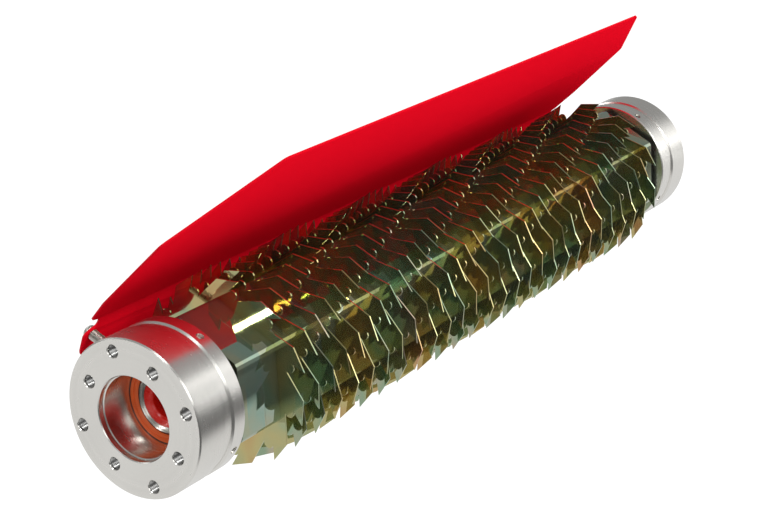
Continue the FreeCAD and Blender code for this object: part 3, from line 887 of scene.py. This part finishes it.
class DressShaft(bpy.types.Operator):
    """Cut the hexagonal shaft and the thick spacers at its ends"""

    bl_idname = "reel.shaft"
    bl_label = "Shaft and end spacers"

    def execute(self, context):
        sizes = context.scene.reel_sizes
        turn = context.scene.reel_housings.fixing_turn
        steps, shaft_edge = 48, 0.0005
        bore = [polar(JOURNAL[1][1], 2 * math.pi * i / steps) for i in range(steps)]
        shaft = hexagon(sizes.shaft_flats, turn, sizes.shaft_radius)
        hole = hexagon(sizes.hexagon, turn)
        drum = hexagon(sizes.drum_flats, turn, sizes.drum_radius)
        for name, outer, inner, box, edge, finish, node in (
                ("hex_bar", shaft, bore, SHAFT, shaft_edge, "shaft_steel", "hex_shaft"),
                ("left_end_block", drum, hole, END_SPACERS[0], sizes.edge, "spacer_zinc",
                 "left_end_spacer"),
                ("right_end_block", drum, hole, END_SPACERS[1], sizes.edge, "spacer_zinc",
                 "right_end_spacer")):
            start, end = box[0][0], box[1][0]
            mesh = plate(name, outer, inner, end - start, edge)
            piece = placed(name, joined(name, [(mesh, shift(start))]))
            settle(piece, "reel", finish, finish, node)
        return {"FINISHED"}


def touch_angle(point, centre, radius, side):
    """The angle on a round at which the line from a point touches it."""
    line = point - centre
    return math.atan2(line.y, line.x) + side * math.acos(radius / line.length)


def blade_outline(sizes):
    """One blade's outline, anticlockwise, as (y, z) points."""
    step = 2 * math.pi / sizes.teeth
    radius = sizes.gullet_radius
    count = 8
    points = []
    for k in range(sizes.teeth):
        turn = sizes.tooth_turn + k * step
        tip = Vector(polar(sizes.tip_radius, turn))
        heel = Vector(polar(sizes.heel_radius, turn - sizes.heel_turn))
        gullet = Vector(polar(sizes.gullet_place, turn - sizes.gullet_turn))
        next_heel = Vector(polar(sizes.heel_radius, turn - sizes.heel_turn + step))
        points += [tuple(heel), tuple(tip)]
        face = touch_angle(tip, gullet, radius, -1)
        flank = touch_angle(next_heel, gullet, radius, 1)
        sweep = (flank - face) % (2 * math.pi)
        for i in range(count):
            y, z = polar(radius, face + sweep * i / (count - 1))
            points.append((gullet.x + y, gullet.y + z))
    return points


class DressBlades(bpy.types.Operator):
    """Set the row of toothed blades on the shaft"""

    bl_idname = "reel.blades"
    bl_label = "Blades"

    def execute(self, context):
        sizes = context.scene.reel_sizes
        turn = context.scene.reel_housings.fixing_turn
        piece = placed("blade_row", plate("blade", blade_outline(sizes),
                                          hexagon(sizes.hexagon, turn), sizes.thickness,
                                          sizes.edge, sharp=25.0))
        repeat(piece, sizes.blades, sizes.pitch, sizes.stagger, "blade_zinc")
        piece.data.transform(shift(BLADES[0][0]))
        settle(piece, "reel", "blade_zinc", "blade_zinc", "blades")
        return {"FINISHED"}


class DressSpacers(bpy.types.Operator):
    """Set the hexagonal spacers between the blades"""

    bl_idname = "reel.spacers"
    bl_label = "Spacers"

    def execute(self, context):
        sizes = context.scene.reel_sizes
        turn = context.scene.reel_housings.fixing_turn
        outer = hexagon(sizes.drum_flats, turn, sizes.drum_radius)
        inner = hexagon(sizes.drum_flats - 2 * sizes.drum_wall, turn)
        lengths = (BLADES[0][0] - STACK[0][0], sizes.pitch - sizes.thickness,
                   STACK[1][0] - BLADES[1][0])
        first, middle, last = (plate("spacer", outer, inner, reach, sizes.edge)
                               for reach in lengths)
        row = placed("middle_spacers", middle)
        repeat(row, sizes.blades - 1, sizes.pitch, 0.0, "spacer_zinc")
        stack = joined("spacer_stack", [
            (first, shift(STACK[0][0])), (row.data, shift(BLADES[0][0] + sizes.thickness)),
            (last, shift(BLADES[1][0]))])
        bpy.data.objects.remove(row)
        settle(placed("spacer_stack", stack), "reel", "spacer_zinc", "spacer_zinc",
               "blade_spacers")
        return {"FINISHED"}


class DressShield(bpy.types.Operator):
    """Round the edges of the sheet shield and paint it"""

    bl_idname = "reel.shield"
    bl_label = "Shield"

    def execute(self, context):
        piece = placed("painted_shield", finished_copy("shield", width=0.0003))
        settle(piece, "root", "shield_red", "shield_paint", "shield")
        return {"FINISHED"}


def lock_screw(sizes):
    """A grub screw along +X with a six-sided key socket, its top at X = 0."""
    radius = sizes.lock_radius - PLAY
    shank, chamfer, depth, key = 0.02, 0.0004, 0.0016, 0.0025
    corner = key / 2 / math.cos(math.pi / 6)
    count = 24
    turns = [2 * math.pi * i / count for i in range(count)]
    bm = bmesh.new()
    rings = []
    for x, reach in ((-shank, radius), (-chamfer, radius), (0.0, radius - chamfer)):
        rings.append([bm.verts.new((x, *polar(reach, turn))) for turn in turns])
    for x in (0.0, -depth):
        ring = []
        for turn in turns:
            local = (turn + math.pi / 6) % (math.pi / 3) - math.pi / 6
            reach = corner * math.cos(math.pi / 6) / math.cos(abs(local))
            ring.append(bm.verts.new((x, *polar(reach, turn))))
        rings.append(ring)
    for low, high in zip(rings, rings[1:]):
        skin(bm, low, high)
    bm.faces.new(rings[0])
    bm.faces.new(rings[-1])
    return as_mesh("lock_screw", bm)


class DressFixings(bpy.types.Operator):
    """Fit the lock screws, the shield's posts and their screws"""

    bl_idname = "reel.fixings"
    bl_label = "Posts and screws"

    def execute(self, context):
        sizes = context.scene.reel_housings
        sunk, foot_length, rib, rib_pitch, rib_turns = 0.0007, 0.009, 0.0004, 0.0008, 22
        screw = joined("lock_screw", [(lock_screw(sizes), radial(
            sizes, sizes.fixing_turn + math.pi / 2, RIM - sunk))])
        quarter_turns("grub_screws", screw, 3, "screw_steel", "plated_steel", SHARP,
                      "lock_screws")
        core = sizes.post_radius - rib
        foot = sizes.lock_radius - PLAY
        rod = lathe("post_rod", [
            (-foot_length, 0.0), (-foot_length, foot), (0.0, foot), (0.0, core),
            (sizes.post_length, core), (sizes.post_length, 0.0)], steps=32)
        ribs = thread("post_ribs", core, rib, rib_pitch, rib_turns, steps=20)
        stand = radial(sizes, sizes.post_turn, RIM)
        both_ends("threaded_post", joined("post", [(rod, stand), (ribs, stand)]), "root",
                  "post_steel", "plated_steel", "shield_post")
        for side in ("left", "right"):
            name = f"{side}_shield_screw"
            piece = placed(name + "_turned", finished_copy(name, width=0.0002))
            settle(piece, "root", "screw_steel", "plated_steel", name)
        return {"FINISHED"}


# ---------------------------------------------------------------- stage

# Each lamp: its place, what it looks at, the side of its square and its power.
MIDDLE = (0.3, 0, 0)
LAMPS = {
    "key": ((0.3, -1.45, 0.98), MIDDLE, 0.8, 23.0),
    "side": ((1.48, -0.77, 0.51), MIDDLE, 0.8, 2.2),
    "low": ((1.48, -0.9, 0.1), MIDDLE, 0.5, 1.8),
    "back": ((0.3, 1.6, 1.2), MIDDLE, 1.0, 8.0),
    "left": ((-0.8, 0.01, 0.845), (0.085, -0.03, 0.034), 0.09, 1.5),
    "front": ((-0.96, -0.83, 0.54), MIDDLE, 0.5, 1.7),
}
CAMERA_PLACE = (-0.7454, -0.6639, 0.4538)
CAMERA_RIGHT = (0.5486, -0.8361, 0.0)
CAMERA_BACK = (-0.7873, -0.5165, 0.3368)
CAMERA_LENS = 87.2


def seen_level(tree, camera, mirror, other):
    """A strength that differs for the camera, for mirrors and for all other rays."""
    path = add_node(tree, "ShaderNodeLightPath", {}, {}).outputs
    in_mirror = add_node(tree, "ShaderNodeMapRange", {}, {
        "Value": path["Is Glossy Ray"], "To Min": other, "To Max": mirror})
    level = add_node(tree, "ShaderNodeMapRange", {}, {
        "Value": path["Is Camera Ray"], "To Min": in_mirror.outputs["Result"],
        "To Max": camera})
    return level.outputs["Result"]


def table_white():
    """A white table that ends at a front edge in mirrors; the camera sees it white."""
    front, edge, blur = (-0.3, -0.954, 0.0), 0.1, 0.06
    camera, mirror, beyond, share = 1.15, 0.8, 0.06, 0.92
    finish = Finish("floor_white")
    away = finish.node("VectorMath", {"operation": "DOT_PRODUCT"},
                       {0: finish.place, 1: front}, "Value")
    table = finish.spread(away, edge, edge + blur, mirror, beyond)
    diffuse = finish.node("BsdfDiffuse", {}, {"Color": (0.85, 0.85, 0.85, 1.0)})
    glow = finish.node("Emission", {}, {
        "Strength": seen_level(finish.tree, camera, table.socket, 0.0)})
    return finish.close(finish.node("MixShader", {}, {
        0: seen_level(finish.tree, share, share, 0.0), 1: diffuse, 2: glow}))


def softbox(name, place, target, size, power):
    """A square lamp that looks at a point."""
    lamp = bpy.data.lights.new(name, "AREA")
    lamp.shape = "RECTANGLE"
    lamp.size = lamp.size_y = size
    lamp.energy = power
    holder = bpy.data.objects.new(name, lamp)
    holder.location = place
    holder.rotation_euler = (Vector(target) - Vector(place)).to_track_quat("-Z", "Y").to_euler()
    bpy.context.scene.collection.objects.link(holder)


class SetStage(bpy.types.Operator):
    """Set the floor, the lamps and the camera"""

    bl_idname = "reel.stage"
    bl_label = "Stage"

    def execute(self, context):
        scene = context.scene
        stage = scene.reel_stage
        half = stage.floor_size / 2
        middle = END / 2
        floor = bpy.data.meshes.new("floor")
        floor.from_pydata([(middle + x * half, y * half, -stage.floor_drop)
                           for x, y in ((-1, -1), (1, -1), (1, 1), (-1, 1))],
                          [], [(0, 1, 2, 3)])
        ground = placed("floor", floor)
        ground.data.materials.append(table_white())

        world = bpy.data.worlds.new("studio")
        scene.world = world
        world.use_nodes = True
        tree = world.node_tree
        tree.nodes.clear()
        sky = add_node(tree, "ShaderNodeBackground", {}, {
            "Strength": seen_level(tree, camera=1.0, mirror=0.4, other=0.55)})
        add_node(tree, "ShaderNodeOutputWorld", {}, {"Surface": sky.outputs[0]})

        for name, lamp in LAMPS.items():
            softbox(name, *lamp)

        camera = bpy.data.cameras.new("camera")
        camera.lens = CAMERA_LENS
        camera.sensor_width = 36.0
        camera.clip_start = 0.01
        holder = bpy.data.objects.new("camera", camera)
        back = Vector(CAMERA_BACK).normalized()
        up = back.cross(Vector(CAMERA_RIGHT).normalized()).normalized()
        turn = Matrix((up.cross(back), up, back)).transposed().to_4x4()
        holder.matrix_world = Matrix.Translation(CAMERA_PLACE) @ turn
        scene.collection.objects.link(holder)
        scene.camera = holder
        scene.view_settings.view_transform = "Standard"
        return {"FINISHED"}


# ---------------------------------------------------------------- panel and run

OPERATORS = (DressHousings, DressSeals, DressJournals, DressShaft, DressSpacers, DressBlades,
             DressShield, DressFixings, SetStage)


class ReelPanel(bpy.types.Panel):
    """Lists the pieces of the cassette"""

    bl_idname = "VIEW3D_PT_reel"
    bl_label = "Reel cassette"
    bl_space_type = "VIEW_3D"
    bl_region_type = "UI"
    bl_category = "Reel"

    def draw(self, context):
        for operator in OPERATORS:
            self.layout.operator(operator.bl_idname)
        for group in (context.scene.reel_housings, context.scene.reel_sizes,
                      context.scene.reel_finishes, context.scene.reel_stage):
            box = self.layout.box()
            for name in type(group).__annotations__:
                box.prop(group, name)


GROUPS = (("reel_housings", HousingSettings), ("reel_sizes", ReelSettings),
          ("reel_finishes", FinishSettings), ("reel_stage", StageSettings))


def register():
    for name, group in GROUPS:
        bpy.utils.register_class(group)
        setattr(bpy.types.Scene, name, PointerProperty(type=group))
    for operator in OPERATORS:
        bpy.utils.register_class(operator)
    bpy.utils.register_class(ReelPanel)


def unregister():
    bpy.utils.unregister_class(ReelPanel)
    for operator in reversed(OPERATORS):
        bpy.utils.unregister_class(operator)
    for name, group in reversed(GROUPS):
        delattr(bpy.types.Scene, name)
        bpy.utils.unregister_class(group)


def plain(box):
    return [[float(value) for value in corner] for corner in box]


def main():
    register()
    bpy.ops.reel.housings()
    bpy.ops.reel.seals()
    bpy.ops.reel.journals()
    bpy.ops.reel.shaft()
    bpy.ops.reel.spacers()
    bpy.ops.reel.blades()
    bpy.ops.reel.shield()
    bpy.ops.reel.fixings()
    bpy.ops.reel.stage()


if __name__ == "__main__":
    main()
